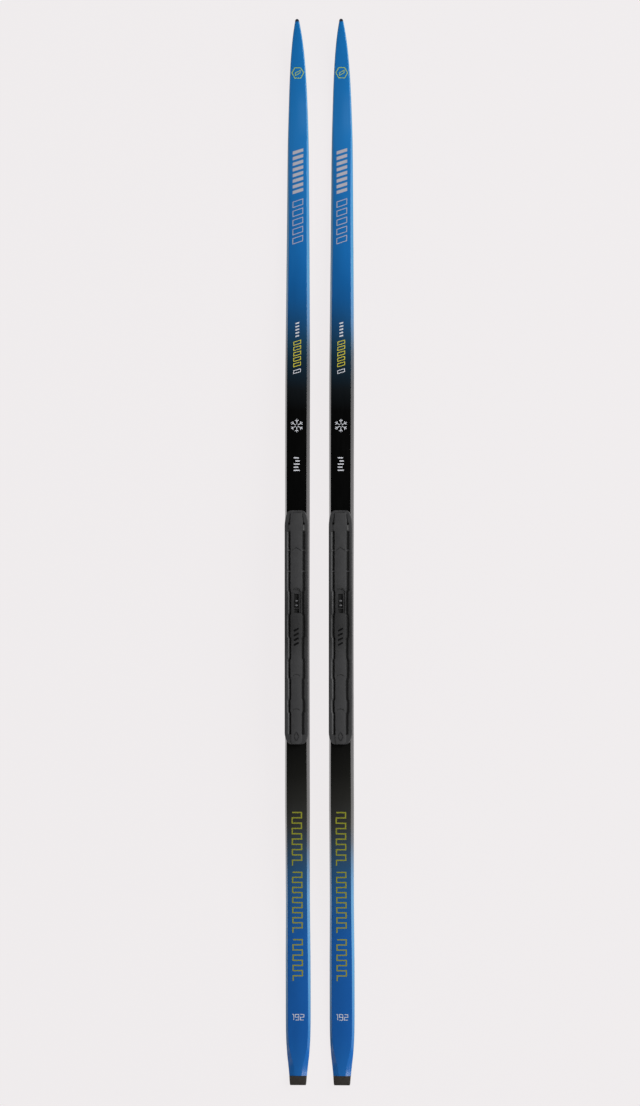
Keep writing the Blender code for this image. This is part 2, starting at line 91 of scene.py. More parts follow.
class Recipe:
    """A material made of nodes, with short names for the few kinds that this scene uses."""

    def __init__(self, name, roughness=0.5, specular=0.5):
        self.material = bpy.data.materials.new(name)
        self.material.use_nodes = True
        self.tree = self.material.node_tree
        self.shader = self.tree.nodes["Principled BSDF"]
        self.shader.inputs["Roughness"].default_value = roughness
        self.shader.inputs["Specular IOR Level"].default_value = specular
        self.place = self.node("TexCoord").outputs["Object"]

    def node(self, kind):
        return self.tree.nodes.new("ShaderNode" + kind)

    def put(self, socket, value):
        """Sets a socket to a number or colour, or links it to another node's output."""
        if isinstance(value, bpy.types.NodeSocket):
            self.tree.links.new(value, socket)
        else:
            socket.default_value = value

    def colour(self, value):
        self.put(self.shader.inputs["Base Color"], value)

    def roughness(self, value):
        self.put(self.shader.inputs["Roughness"], value)

    def uneven(self, noise, low, high):
        """Roughness that follows a noise, from low to high."""
        self.roughness(self.spread(noise, 0.3, 0.7, low, high))

    def axis(self, name, vector=None):
        """One part of a vector, or of the place."""
        split = self.node("SeparateXYZ")
        self.put(split.inputs[0], vector or self.place)
        return split.outputs[name]

    def upward(self):
        """How far the surface faces up, from -1 to 1."""
        return self.axis("Z", self.node("NewGeometry").outputs["Normal"])

    def math(self, operation, first, second=0.0, third=0.0):
        node = self.node("Math")
        node.operation = operation
        for socket, value in zip(node.inputs, (first, second, third)):
            self.put(socket, value)
        return node.outputs[0]

    def spread(self, value, low, high, to_low=0.0, to_high=1.0):
        """Value mapped from one range to another, and kept inside it."""
        node = self.node("MapRange")
        for socket, given in zip(node.inputs[:5], (value, low, high, to_low, to_high)):
            self.put(socket, given)
        return node.outputs[0]

    def squeezed(self, stretch, turn=0.0):
        """The place, scaled along each axis, after a turn about Z."""
        node = self.node("Mapping")
        node.vector_type = "TEXTURE" if turn else "POINT"
        self.put(node.inputs["Vector"], self.place)
        if turn:
            node.inputs["Rotation"].default_value = (0.0, 0.0, turn)
            node.inputs["Scale"].default_value = tuple(1 / s for s in stretch)
        else:
            node.inputs["Scale"].default_value = stretch
        return node.outputs[0]

    def noise(self, scale, detail=2.0, stretch=(1.0, 1.0, 1.0), turn=0.0):
        node = self.node("TexNoise")
        self.put(node.inputs["Vector"], self.squeezed(stretch, turn))
        node.inputs["Scale"].default_value = scale
        node.inputs["Detail"].default_value = detail
        return node.outputs["Fac"]

    def cells(self, scale):
        node = self.node("TexVoronoi")
        self.put(node.inputs["Vector"], self.place)
        node.inputs["Scale"].default_value = scale
        return node.outputs["Distance"]

    def lines(self, pitch, direction="X", turn=0.0, distortion=0.0):
        """Even lines across one axis, from 0 to 1, pitch apart."""
        node = self.node("TexWave")
        node.wave_type = "BANDS"
        node.bands_direction = direction
        self.put(node.inputs["Vector"], self.squeezed((1.0, 1.0, 1.0), turn))
        waves_per_unit = 20 / (2 * math.pi)      # of Blender's wave texture at scale 1
        node.inputs["Scale"].default_value = 1 / (pitch * waves_per_unit)
        node.inputs["Distortion"].default_value = distortion
        return node.outputs["Fac"]

    def ramp(self, value, stops):
        """A colour ramp. The stops are (place from 0 to 1, colour)."""
        node = self.node("ValToRGB")
        self.put(node.inputs[0], value)
        elements = node.color_ramp.elements
        elements.remove(elements[1])
        elements[0].position, elements[0].color = stops[0]
        for position, colour in stops[1:]:
            elements.new(position).color = colour
        return node.outputs["Color"]

    def mix(self, share, first, second, blend="MIX"):
        node = self.node("Mix")
        node.data_type = "RGBA"
        node.blend_type = blend
        self.put(node.inputs["Factor"], share)
        self.put(node.inputs["A"], first)
        self.put(node.inputs["B"], second)
        return node.outputs["Result"]

    def times(self, colour, factor):
        """The colour, made brighter or darker by that factor."""
        grey = self.node("CombineColor")
        for socket in grey.inputs:
            self.put(socket, factor)
        return self.mix(1.0, colour, grey.outputs[0], "MULTIPLY")

    def product(self, first, second):
        return self.math("MULTIPLY", first, second)

    def bump(self, *layers):
        """Bump from layers of (height, depth in metres), one on top of the other."""
        normal = None
        for height, depth in layers:
            node = self.node("Bump")
            node.inputs["Distance"].default_value = depth
            self.put(node.inputs["Height"], height)
            if normal:
                self.put(node.inputs["Normal"], normal)
            normal = node.outputs["Normal"]
        self.put(self.shader.inputs["Normal"], normal)


def mottled(recipe, colour, amount, scale, stretch=(1.0, 1.0, 1.0)):
    """A colour that is uneven by that share, up and down."""
    dark = (*(c * (1 - amount) for c in colour[:3]), 1.0)
    light = (*(c * (1 + amount) for c in colour[:3]), 1.0)
    return recipe.mix(recipe.noise(scale, 3.0, stretch), dark, light)


# ---------- one ski's shape, from the frame

SAME_SECTION = 0.0002          # points closer along Y than this are in one section
SAME_LINE = 0.00001            # points closer up or across than this are on one line


def smooth(ys, values, y):
    """A smooth curve through the points, at every y. It never overshoots them."""
    slopes = np.diff(values) / np.diff(ys)
    product = slopes[:-1] * slopes[1:]
    total = np.where(product > 0, slopes[:-1] + slopes[1:], 1.0)
    inner = np.where(product > 0, 2 * product / total, 0.0)
    tangents = np.concatenate([slopes[:1], inner, slopes[-1:]])
    i = np.clip(np.searchsorted(ys, y) - 1, 0, len(slopes) - 1)
    run = ys[i + 1] - ys[i]
    u = (y - ys[i]) / run
    level = (1 + 2 * u) * (1 - u) ** 2 * values[i] + u * u * (3 - 2 * u) * values[i + 1]
    return level + run * u * (1 - u) * ((1 - u) * tangents[i] - u * tangents[i + 1])


def steps(start, end, longest):
    """Even places from start to end, no further apart than longest."""
    return np.linspace(start, end, math.ceil((end - start) / longest) + 1)


# Measures of one section. x is the distance from the centre line, and z the height.

def widest(x, z):
    return x.max()


def narrowest(x, z):
    return x.min()


def lowest(x, z):
    return z.min()


def highest(x, z):
    return z.max()


def groove_depth(x, z):
    return z[x.argmin()] - z.min()


def widest_on_top(x, z):
    return x[z > z.max() - SAME_LINE].max()


def highest_at_side(x, z):
    return z[x > x.max() - SAME_LINE].max()


class Ski:
    """The sections of one ski's nodes, as smooth curves along Y."""

    def __init__(self, name):
        self.name = name
        self.body = name + "_ski"
        low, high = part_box(name + "_running_base")
        self.centre = (low.x + high.x) / 2
        self.curves = {}
        self.read("top_sheet", half=widest, rim=lowest, high=highest, shoulder=widest_on_top,
                  knee=highest_at_side)
        self.read("running_base", base_half=widest, low=lowest, base_top=highest,
                  groove=groove_depth)
        self.read("outer_edge_strip", edge_in=narrowest, edge_out=widest, edge_low=lowest,
                  edge_top=highest)
        self.read("tail_guard", tail_half=widest, tail_low=lowest, tail_high=highest)
        self.read("tip_guard", tip_half=widest, tip_low=lowest, tip_high=highest)

    def read(self, node, **measures):
        """Keeps a curve for each measure of the node's sections."""
        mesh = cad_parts[f"{self.name}_{node}"].data
        places = np.array([v.co for v in mesh.vertices]) - (self.centre, 0.0, 0.0)
        places = places[places[:, 1].argsort()]
        breaks = np.flatnonzero(np.diff(places[:, 1]) > SAME_SECTION) + 1
        sections = np.split(places, breaks)
        ys = np.array([section[:, 1].mean() for section in sections])
        for name, measure in measures.items():
            values = np.array([measure(abs(s[:, 0]), s[:, 2]) for s in sections])
            self.curves[name] = (ys, values)

    def at(self, name, y):
        """That curve's value at y, or at each y of an array."""
        ys, values = self.curves[name]
        return smooth(ys, values, np.clip(y, ys[0], ys[-1]))

    def ends(self, name):
        """Where that curve starts and ends."""
        ys = self.curves[name][0]
        return ys[0], ys[-1]

    def top(self, x, y):
        """Height of the cap's top, which is crowned across, at x from the centre line."""
        across = min(abs(x) / self.at("shoulder", y), 1.0)
        return self.at("high", y) - CROWN * across ** 2


# ---------- making meshes

def fillet(before, corner, after, radius, pieces=4):
    """Points of a round corner. It takes less than half of each side."""
    most = 0.45
    before, corner, after = (np.array(p, float) for p in (before, corner, after))
    to_before = before - corner
    to_after = after - corner
    length_before = np.linalg.norm(to_before)
    length_after = np.linalg.norm(to_after)
    cosine = to_before @ to_after / (length_before * length_after)
    half_angle = math.acos(max(-1.0, min(1.0, cosine))) / 2
    reach = min(radius / math.tan(half_angle), most * length_before, most * length_after)
    start = corner + to_before / length_before * reach
    end = corner + to_after / length_after * reach
    shares = [i / pieces for i in range(pieces + 1)]
    return [tuple((1 - t) ** 2 * start + 2 * t * (1 - t) * corner + t * t * end) for t in shares]


def rounded(points, radii, pieces=4):
    """A line of points with round corners. Radii are those of the inner points."""
    made = [points[0]]
    for i, radius in enumerate(radii, start=1):
        made += fillet(points[i - 1], points[i], points[i + 1], radius, pieces)
    return made + [points[-1]]


def mirrored(right):
    """A closed section from its right half, which starts and ends on the centre line."""
    return right + [(-x, z) for x, z in reversed(right[1:-1])]


def mesh_object(name, shape, sharp_angle=35.0):
    """An object from a bmesh, shaded smooth with sharp edges kept. The bmesh is freed."""
    bmesh.ops.recalc_face_normals(shape, faces=shape.faces)
    mesh = bpy.data.meshes.new(name)
    shape.to_mesh(mesh)
    shape.free()
    mesh.shade_smooth()
    mesh.set_sharp_from_angle(angle=math.radians(sharp_angle))
    made = bpy.data.objects.new(name, mesh)
    bpy.context.scene.collection.objects.link(made)
    return made


def rows_of(shape, centre, ys, sections):
    """A row of vertices for each section of (x, z)."""
    return [[shape.verts.new((centre + x, y, z)) for x, z in section]
            for y, section in zip(ys, sections)]


def ring(shape, outline, z):
    """A row of vertices round an outline, at one height."""
    return [shape.verts.new((x, y, z)) for x, y in outline]


def bridge(shape, rows, rings=True):
    """Faces between each row of vertices and the next. Rings close on themselves."""
    count = len(rows[0])
    for near, far in zip(rows, rows[1:]):
        for i in range(count if rings else count - 1):
            j = (i + 1) % count
            shape.faces.new((near[i], near[j], far[j], far[i]))


def loft(name, centre, ys, sections):
    """A closed solid through sections of (x, z), one at each y."""
    shape = bmesh.new()
    rows = rows_of(shape, centre, ys, sections)
    bridge(shape, rows)
    ends = [shape.faces.new(rows[0]), shape.faces.new(rows[-1])]
    bmesh.ops.triangulate(shape, faces=ends)
    return mesh_object(name, shape)


def shell(name, centre, ys, outer, inner):
    """A closed skin between two rows of sections with the same number of points."""
    shape = bmesh.new()
    skins = [rows_of(shape, centre, ys, sections) for sections in (outer, inner)]
    for rows in skins:
        bridge(shape, rows, rings=False)
    for last in (0, -1):
        bridge(shape, [[row[last] for row in rows] for rows in skins], rings=False)
        bridge(shape, [rows[last] for rows in skins], rings=False)
    return mesh_object(name, shape)


def prism(name, outline, low, high, flare=0.0):
    """A flat outline from low to high. Its top is wider by flare all round its middle."""
    points = [Vector((x, y, 0.0)) for x, y in outline]
    middle = sum(points, Vector()) / len(points)
    shape = bmesh.new()
    bottom = ring(shape, [p.xy for p in points], low)
    top = ring(shape, [(p + (p - middle).normalized() * flare).xy for p in points], high)
    bridge(shape, (bottom, top))
    for a, b, c in tessellate_polygon([points]):
        shape.faces.new((bottom[a], bottom[b], bottom[c]))
        shape.faces.new((top[a], top[b], top[c]))
    return mesh_object(name, shape)


def stroke(points, width, closed=False):
    """The two sides of a line of that width, as pairs of points, with mitred corners."""
    points = [Vector(p) for p in points]
    count = len(points)
    pairs = []
    for i, point in enumerate(points):
        ways = []
        if closed or i > 0:
            ways.append((point - points[i - 1]).normalized())
        if closed or i < count - 1:
            ways.append((points[(i + 1) % count] - point).normalized())
        normals = [Vector((-way.y, way.x)) for way in ways]
        mitre = sum(normals, Vector((0.0, 0.0))).normalized()
        reach = width / 2 / max(mitre.dot(normals[0]), 0.3)
        pairs.append((point + mitre * reach, point - mitre * reach))
    return pairs, closed


def outline_of(strip):
    """The outline round an open stroke."""
    pairs, _ = strip
    return [tuple(left) for left, _ in pairs] + [tuple(right) for _, right in reversed(pairs)]


def arc(centre_y, half_width, rise, points=9):
    """A shallow arc across the centre line, highest in its middle."""
    shares = np.linspace(-1.0, 1.0, points)
    return [(half_width * share, centre_y - rise * share ** 2) for share in shares]


def ellipse(x, y, half_width, half_length, points=24):
    turns = [2 * math.pi * i / points for i in range(points)]
    return [(x + half_width * math.cos(t), y + half_length * math.sin(t)) for t in turns]


def finish_piece(piece, ski, recipe, slot, *nodes):
    """Gives a piece its material and body, and hides the CAD nodes that it stands for."""
    piece.data.materials.clear()
    piece.data.materials.append(recipe.material)
    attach(piece, ski.body)
    if nodes:
        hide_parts(*(f"{ski.name}_{node}" for node in nodes))


# ---------- the ski's skin

CAP = 0.0006                   # thickness of the cap
CROWN = 0.00025                # how far the cap's top falls from its middle to its shoulders
KNEE_RADIUS = 0.0014           # between the cap's upright side and its sloping flank
SHOULDER_RADIUS = 0.0007       # between the flank and the top
RIM_RADIUS = 0.0003
BODY_STEP = 0.008              # between sections along the ski's middle


def cap_sections(ski, ys, depth):
    """The cap's skin at that depth, from the right rim over the top to the left rim."""
    sections = []
    crown_shares = (0.85, 0.7, 0.5, 0.3, 0.15)
    for y in ys:
        half, shoulder = ski.at("half", y), ski.at("shoulder", y)
        rim, knee, high = ski.at("rim", y), ski.at("knee", y), ski.at("high", y)
        angle = math.atan2(half - shoulder, high - knee)
        shoulder -= depth * math.tan((math.pi / 2 - angle) / 2)
        crest = high - depth - CROWN
        knee -= depth * math.tan(angle / 2)
        side = half - depth
        first_top = (crown_shares[0] * shoulder, crest + CROWN * (1 - crown_shares[0] ** 2))
        line = [(side - RIM_RADIUS, rim), (side, rim), (side, knee), (shoulder, crest), first_top]
        right = rounded(line, (RIM_RADIUS, KNEE_RADIUS - depth, SHOULDER_RADIUS - depth))
        for share in crown_shares[1:]:
            right.append((share * shoulder, crest + CROWN * (1 - share ** 2)))
        right.append((0.0, crest + CROWN))
        sections.append(right + [(-x, z) for x, z in reversed(right[:-1])])
    return sections


def cap(ski, recipe):
    start, end = ski.ends("half")
    tail_end, tip_start = start + 0.07, end - 0.12
    tail_step, tip_step = 0.003, 0.004
    ys = np.concatenate([steps(start, tail_end, tail_step)[:-1],
                         steps(tail_end, tip_start, BODY_STEP)[:-1],
                         steps(tip_start, end, tip_step)])
    outer = cap_sections(ski, ys, 0.0)
    inner = cap_sections(ski, ys, CAP)
    piece = shell(ski.name + "_cap", ski.centre, ys, outer, inner)
    finish_piece(piece, ski, recipe, "top_sheet", "top_sheet")


def running_base(ski, recipe):
    groove_half_width = 0.0040
    flat_share = 0.62          # of the groove's width that its floor takes
    most_share = 0.4           # of the base's width that the groove may take
    groove_radius = 0.0008
    edge_radius = 0.0002
    ys = steps(*ski.ends("low"), BODY_STEP)
    sections = []
    for y in ys:
        low, top, half = ski.at("low", y), ski.at("base_top", y), ski.at("base_half", y)
        groove = min(groove_half_width, most_share * half)
        floor = low + ski.at("groove", y)
        line = [(0.0, floor), (flat_share * groove, floor), (groove, low), (half, low),
                (half, top), (0.0, top)]
        radii = (groove_radius, groove_radius, edge_radius, edge_radius)
        sections.append(mirrored(rounded(line, radii)))
    piece = loft(ski.name + "_sole", ski.centre, ys, sections)
    finish_piece(piece, ski, recipe, "running_base", "running_base")


def edge_strips(ski, recipe):
    """The two hard strips along the base, with a round lower corner."""
    corner_radius = 0.0006
    slight_radius = 0.0002
    outer_side = -1 if ski.centre < 0 else 1
    ys = steps(*ski.ends("edge_in"), BODY_STEP)
    for name, side in (("outer_edge_strip", outer_side), ("inner_edge_strip", -outer_side)):
        sections = []
        for y in ys:
            inside, outside = ski.at("edge_in", y), ski.at("edge_out", y)
            low, top = ski.at("edge_low", y), ski.at("edge_top", y)
            line = [(inside, top), (inside, low), (outside, low), (outside, top), (inside, top)]
            section = rounded(line, (slight_radius, corner_radius, slight_radius))[:-1]
            sections.append([(side * x, z) for x, z in section])
        piece = loft(f"{ski.name}_{name}_fine", ski.centre, ys, sections)
        finish_piece(piece, ski, recipe, "edge_strip", name)


def guard(ski, end, joint, recipe, corner_radius, ys):
    """A moulded end piece with round corners, and a shallow seam near its joint with the ski."""
    seam_depth = 0.00018
    seam_width = 0.0007
    sections = []
    for y in ys:
        seam = seam_depth * math.exp(-((y - joint) / seam_width) ** 2)
        half = ski.at(end + "_half", y) - seam
        low, high = ski.at(end + "_low", y), ski.at(end + "_high", y) - seam
        line = [(0.0, low), (half, low), (half, high), (0.0, high)]
        sections.append(mirrored(rounded(line, (corner_radius, corner_radius), 6)))
    piece = loft(f"{ski.name}_{end}_guard_fine", ski.centre, ys, sections)
    finish_piece(piece, ski, recipe, end + "_guard", end + "_guard")


def guards(ski, tail_recipe, tip_recipe):
    """Both end pieces, with sections crowded together where they round off."""
    close, even = 0.00025, 0.0004
    tail_seam, tip_seam = 0.0022, 0.0006
    tail_radius, tip_radius = 0.0014, 0.0016
    rear, front = ski.ends("tail_half")
    rounded_off = rear + 0.0025
    ys = np.concatenate([steps(rear, rounded_off, close)[:-1], steps(rounded_off, front, even)])
    guard(ski, "tail", front - tail_seam, tail_recipe, tail_radius, ys)
    rear, front = ski.ends("tip_half")
    guard(ski, "tip", rear + tip_seam, tip_recipe, tip_radius, steps(rear, front, close))


# ---------- the binding plate

# Places along the plate are distances back from its nose.
RAIL_DROP = 0.0010             # of the rails' tops below the strip's
CHANNEL_DROP = 0.0038          # of the channels' floors below the strip's top
# Half widths: strip's top, strip's foot, foot of the rail's slope, top of the rail's slope.
CHANNEL_OUT = (0.0104, 0.0110, 0.0133, 0.0166)
CHANNEL_IN = (0.0091, 0.0097, 0.0116, 0.0150)
SHOULDERS = (0.0128, 0.0140, 0.0148, 0.0162)
SHOULDER_SPAN = (0.0262, 0.0355)
CHANNEL_SPAN = (0.0370, 0.4035)
CHANNEL_CHANGES = (0.145, 0.187, 0.228, 0.267, 0.302, 0.340, 0.363)     # from out to in and back
CHANNEL_STEP = 0.0034          # length of each change
CHANNEL_RIBS = (0.0720, 0.1095)
PRINT = 0.00006                # thickness of a printed motif


def plate_shapes():
    """The plate's sections as (distance from the nose, four half widths, share of the depth)."""
    turn = 0.0012              # length of the shoulders' own corners
    low_rib = 0.35             # share of the channel's depth that is left over a rib
    half_rib, rib_foot = 0.0012, 1.6 * 0.0012
    start, end = CHANNEL_SPAN
    shapes = [(SHOULDER_SPAN[0] - turn, CHANNEL_OUT, 0.0), (SHOULDER_SPAN[0], SHOULDERS, 0.0),
              (SHOULDER_SPAN[1], SHOULDERS, 0.0), (SHOULDER_SPAN[1] + turn, CHANNEL_OUT, 0.0),
              (start, CHANNEL_OUT, 0.0), (start + CHANNEL_STEP / 2, CHANNEL_OUT, 1.0)]
    for rib in CHANNEL_RIBS:
        shapes += [(rib - rib_foot, CHANNEL_OUT, 1.0), (rib - half_rib, CHANNEL_OUT, low_rib),
                   (rib + half_rib, CHANNEL_OUT, low_rib), (rib + rib_foot, CHANNEL_OUT, 1.0)]
    states = (CHANNEL_OUT, CHANNEL_IN)
    for i, change in enumerate(CHANNEL_CHANGES):
        shapes.append((change - CHANNEL_STEP / 2, states[i % 2], 1.0))
        shapes.append((change + CHANNEL_STEP / 2, states[(i + 1) % 2], 1.0))
    last = states[len(CHANNEL_CHANGES) % 2]
    return shapes + [(end - CHANNEL_STEP / 2, last, 1.0), (end, last, 0.0)]


def plate_outline(front, rear, half):
    """The plate's half width as a curve of y, with its round ends."""
    nose = ((0.0, 0.0096), (0.0004, 0.0114), (0.0010, 0.0129), (0.0020, 0.0145), (0.0034, 0.0159),
            (0.0060, 0.0175), (0.0100, 0.0189), (0.0160, 0.0201), (0.0210, 0.0208), (0.0280, half))
    heel = ((0.0, 0.0094), (0.0005, 0.0114), (0.0012, 0.0131), (0.0024, 0.0147), (0.0040, 0.0161),
            (0.0064, 0.0177), (0.0110, 0.0196), (0.0154, 0.0207), (0.0210, half))
    ys = [rear + d for d, _ in heel] + [front - d for d, _ in reversed(nose)]
    widths = [w for _, w in heel] + [w for _, w in reversed(nose)]
    return np.array(ys), np.array(widths)


def plate_blank(ski, low, high):
    """The plate with its rails, strip, head and channels."""
    end_radius = 0.0016        # of the round edge over the nose and the heel
    side_chamfer = 0.0021
    foot = 0.0008              # of the chamfer along the bottom
    head_start, head_end = 0.0034, 0.0046
    soft, crisp = 0.0005, 0.0002
    front, rear = high.y, low.y
    outline = plate_outline(front, rear, high.x - ski.centre)
    top = high.z - PRINT
    shapes = plate_shapes()
    marks = np.array([s[0] for s in shapes])
    widths = np.array([s[1] for s in shapes])
    depths = np.array([s[2] for s in shapes])
    close, even, longest = 0.0002, 0.0003, 0.01
    length = front - rear
    from_ends = [i * close for i in range(12)]
    distances = list(marks) + [front - y for y in outline[0]]
    distances += from_ends + [length - d for d in from_ends]
    distances += list(steps(head_start, head_end, even)) + list(steps(0.0, length, longest))
    distances = sorted(set(round(d, 5) for d in distances))
    sections = []
    for distance in distances:
        half = float(smooth(*outline, np.array([front - distance]))[0])
        four = [np.interp(distance, marks, widths[:, i]) for i in range(4)]
        depth = float(np.interp(distance, marks, depths))
        from_end = min(distance, length - distance)
        round_off = max(end_radius - from_end, 0.0)
        fall = end_radius - math.sqrt(max(end_radius ** 2 - round_off ** 2, 0.0))
        head = float(np.interp(distance, (head_start, head_end), (0.0, 1.0)))
        rail = top - RAIL_DROP - fall
        strip = rail + RAIL_DROP * head
        floor = rail - depth * (CHANNEL_DROP - RAIL_DROP)
        fit = min(1.0, (half - 2 * foot) / four[3])
        strip_top, strip_foot, slope_foot, slope_top = (w * fit for w in four)
        line = [(0.0, low.z), (half - foot, low.z), (half, low.z + foot),
                (half, rail - side_chamfer), (half - foot, rail), (slope_top, rail),
                (slope_foot, floor), (strip_foot, floor), (strip_top, strip), (0.0, strip)]
        radii = (crisp, crisp, soft, soft, crisp, crisp, crisp, soft / 2)
        sections.append(mirrored(rounded(line, radii, 3)))
    ys = [front - d for d in distances]
    return loft("plate_blank", ski.centre, ys, sections)


def plate_cuts(front):
    """Every outline that is cut into the plate, as (outline, depth below its top)."""
    pocket_front, pocket_rear, pocket_half = 0.1415, 0.1845, 0.0078
    groove = 0.0012
    pocket = [(-pocket_half, front - pocket_rear), (pocket_half, front - pocket_rear)]
    pocket += reversed(arc(front - pocket_front, pocket_half, 0.0038))
    yield pocket, 0.0012
    slot_half, slot_depth = 0.0042, 0.0043
    yield box(0.0, slot_half, front - 0.1750, front - 0.1500), slot_depth
    yield box(0.0004, slot_half, front - 0.1840, front - 0.1768), slot_depth
    for side in (-1, 1):
        yield ellipse(side * 0.0134, front - 0.0238, 0.0017, 0.0024), RAIL_DROP + 0.0034
        slit = stroke([(side * 0.0112, front - 0.0066), (side * 0.0115, front - 0.0120),
                       (side * 0.0124, front - 0.0180), (side * 0.0132, front - 0.0222)], groove)
        yield outline_of(slit), RAIL_DROP + 0.0022
    rim = arc(front - 0.0036, 0.0070, 0.0006)
    yield outline_of(stroke(rim, 0.0009)), RAIL_DROP + 0.0008
    chevron = [(-0.0076, front - 0.0718), (0.0, front - 0.0668), (0.0076, front - 0.0718)]
    yield outline_of(stroke(chevron, 0.0013)), 0.0008
    for distance in (0.1398, 0.2950, 0.3565):
        yield outline_of(stroke(arc(front - distance, 0.0062, 0.0024), groove)), 0.0007
    diamond = [(0.0, -0.0085), (0.0046, 0.0), (0.0, 0.0085), (-0.0046, 0.0)]
    kept_half = 0.41           # of each side that is cut, either way from its middle
    for i in range(4):
        start, end = diamond[i], diamond[(i + 1) % 4]
        side_line = []
        for share in (kept_half, -kept_half):
            x, y = (0.5 * (a + b) + share * (a - b) for a, b in zip(start, end))
            side_line.append((x, y + front - 0.4062))
        yield outline_of(stroke(side_line, 0.0014)), 0.0008


def box(x, half_width, low, high):
    """A rectangle about x."""
    return [(x - half_width, low), (x + half_width, low), (x + half_width, high),
            (x - half_width, high)]


def cut(target, tool):
    """Takes the tool's shape out of the target's mesh. The tool is removed."""
    step = target.modifiers.new("cut", "BOOLEAN")
    step.operation = "DIFFERENCE"
    step.solver = "EXACT"
    step.object = tool
    bpy.context.view_layer.update()
    evaluated = target.evaluated_get(bpy.context.evaluated_depsgraph_get())
    mesh = bpy.data.meshes.new_from_object(evaluated)
    target.modifiers.remove(step)
    target.data = mesh
    bpy.data.objects.remove(tool)


def binding_plate(ski, recipe, peg_recipe, mark_recipe):
    low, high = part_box(ski.name + "_binding_plate")
    top = high.z - PRINT
    plate = plate_blank(ski, low, high)
    above = 0.002              # how far a cutter stands above the plate
    draft = 0.0002             # how much wider each cut is at the plate's top than at its foot
    for outline, depth in plate_cuts(high.y):
        placed = [(ski.centre + x, y) for x, y in outline]
        flare = draft * (depth + above) / depth
        cut(plate, prism("cutter", placed, top - depth, top + above, flare))
    plate.name = ski.name + "_binding_plate_fine"
    plate.data.shade_smooth()
    plate.data.set_sharp_from_angle(angle=math.radians(28))
    finish_piece(plate, ski, recipe, "binding_plate", "binding_plate")
    plate_pegs(ski, high.y, top, peg_recipe)
    marks = [stroke([(-0.0044, high.y - d - 0.0046), (0.0044, high.y - d)], 0.0034)
             for d in (0.2120, 0.2205, 0.2290, 0.2375)]
    decal(ski, "plate_marks", marks, mark_recipe, "binding_plate", lambda x, y: top)


def plate_pegs(ski, front, top, recipe):
    """Two domed oval pegs that stand in the slot."""
    half_width, half_length = 0.0026, 0.0017
    root, shoulder, crest = top - 0.0045, top - 0.0013, top - 0.0007
    rings = 6
    shape = bmesh.new()
    for distance in (0.1624, 0.1706):
        levels = [(1.0, root), (1.0, shoulder)]
        for i in range(1, rings):
            turn = math.pi / 2 * i / rings
            levels.append((math.cos(turn), shoulder + (crest - shoulder) * math.sin(turn)))
        rows = [ring(shape, ellipse(ski.centre, front - distance, half_width * scale,
                                    half_length * scale), z) for scale, z in levels]
        bridge(shape, rows)
        shape.faces.new(rows[0])
        shape.faces.new(rows[-1])
    piece = mesh_object(ski.name + "_plate_pegs", shape)
    finish_piece(piece, ski, recipe, "binding_plate")


# ---------- printed motifs

def decal(ski, name, strips, recipe, slot="top_sheet", height=None):
    """Strokes laid on the ski as one thin piece, which follows the surface under it.

    It is drawn between the levels 0 and 1, cut into cells, and then laid down.
    """
    sunk = 0.00004
    cell = 0.004
    height = height or ski.top
    shape = bmesh.new()
    for pairs, closed in strips:
        rows = []
        for left, right in pairs:
            rows.append([shape.verts.new((side.x, side.y, level))
                         for side, level in ((left, 0), (right, 0), (right, 1), (left, 1))])
        bridge(shape, rows + rows[:1] if closed else rows)
        if not closed:
            shape.faces.new(rows[0])
            shape.faces.new(rows[-1])
    for axis in (Vector((1, 0, 0)), Vector((0, 1, 0))):
        places = [v.co.dot(axis) for v in shape.verts]
        for place in np.arange(min(places) + cell, max(places), cell):
            geometry = shape.verts[:] + shape.edges[:] + shape.faces[:]
            bmesh.ops.bisect_plane(shape, geom=geometry, plane_co=axis * place, plane_no=axis)
    for v in shape.verts:
        lift = PRINT if v.co.z > 0.5 else -sunk
        v.co.z = height(v.co.x, v.co.y) + lift
        v.co.x += ski.centre
    bmesh.ops.triangulate(shape, faces=shape.faces)
    piece = mesh_object(f"{ski.name}_{name}", shape, 60.0)
    finish_piece(piece, ski, recipe, slot)


def slanted_bar(y, width, length, slant):
    """A solid bar across the ski. Its ends lie slant further forward on the right."""
    pairs = [[Vector((side * width, y + side * slant + end * length)) for end in (0.5, -0.5)]
             for side in (-0.5, 0.5)]
    return pairs, False


def tilted_frame(y, width, length, slant, line):
    """The outline of a slanted bar."""
    corners = [(side * width, y + side * slant + end * length)
               for side, end in ((-0.5, -0.5), (0.5, -0.5), (0.5, 0.5), (-0.5, 0.5))]
    return stroke(corners, line, closed=True)


def battlement(start, end, width, pitch, line):
    """One square wave across the ski, from start to end."""
    side = width / 2 - line / 2
    count = max(2, round((end - start) / pitch))
    points = []
    for i in range(count):
        y = start + line / 2 + i * (end - start - line) / (count - 1)
        x = side if i % 2 else -side
        points += [(-x, y), (x, y)] if i else [(x, y)]
    return stroke(points, line)


def hexagon(y, radius, line):
    return stroke(ellipse(0.0, y, radius, radius, 6), line, closed=True)


def crystal(y, radius, line):
    """A plain six-armed snow crystal."""
    strips = []
    for i in range(6):
        turn = math.pi / 3 * i + math.pi / 6
        way = Vector((math.cos(turn), math.sin(turn)))
        across = Vector((-way.y, way.x))
        centre = Vector((0.0, y))
        strips.append(stroke([centre + way * 0.18 * radius, centre + way * radius], line))
        twig = centre + way * 0.62 * radius
        for side in (-1, 1):
            tip = twig + way * 0.22 * radius + across * side * 0.26 * radius
            strips.append(stroke([twig, tip], line))
    return strips


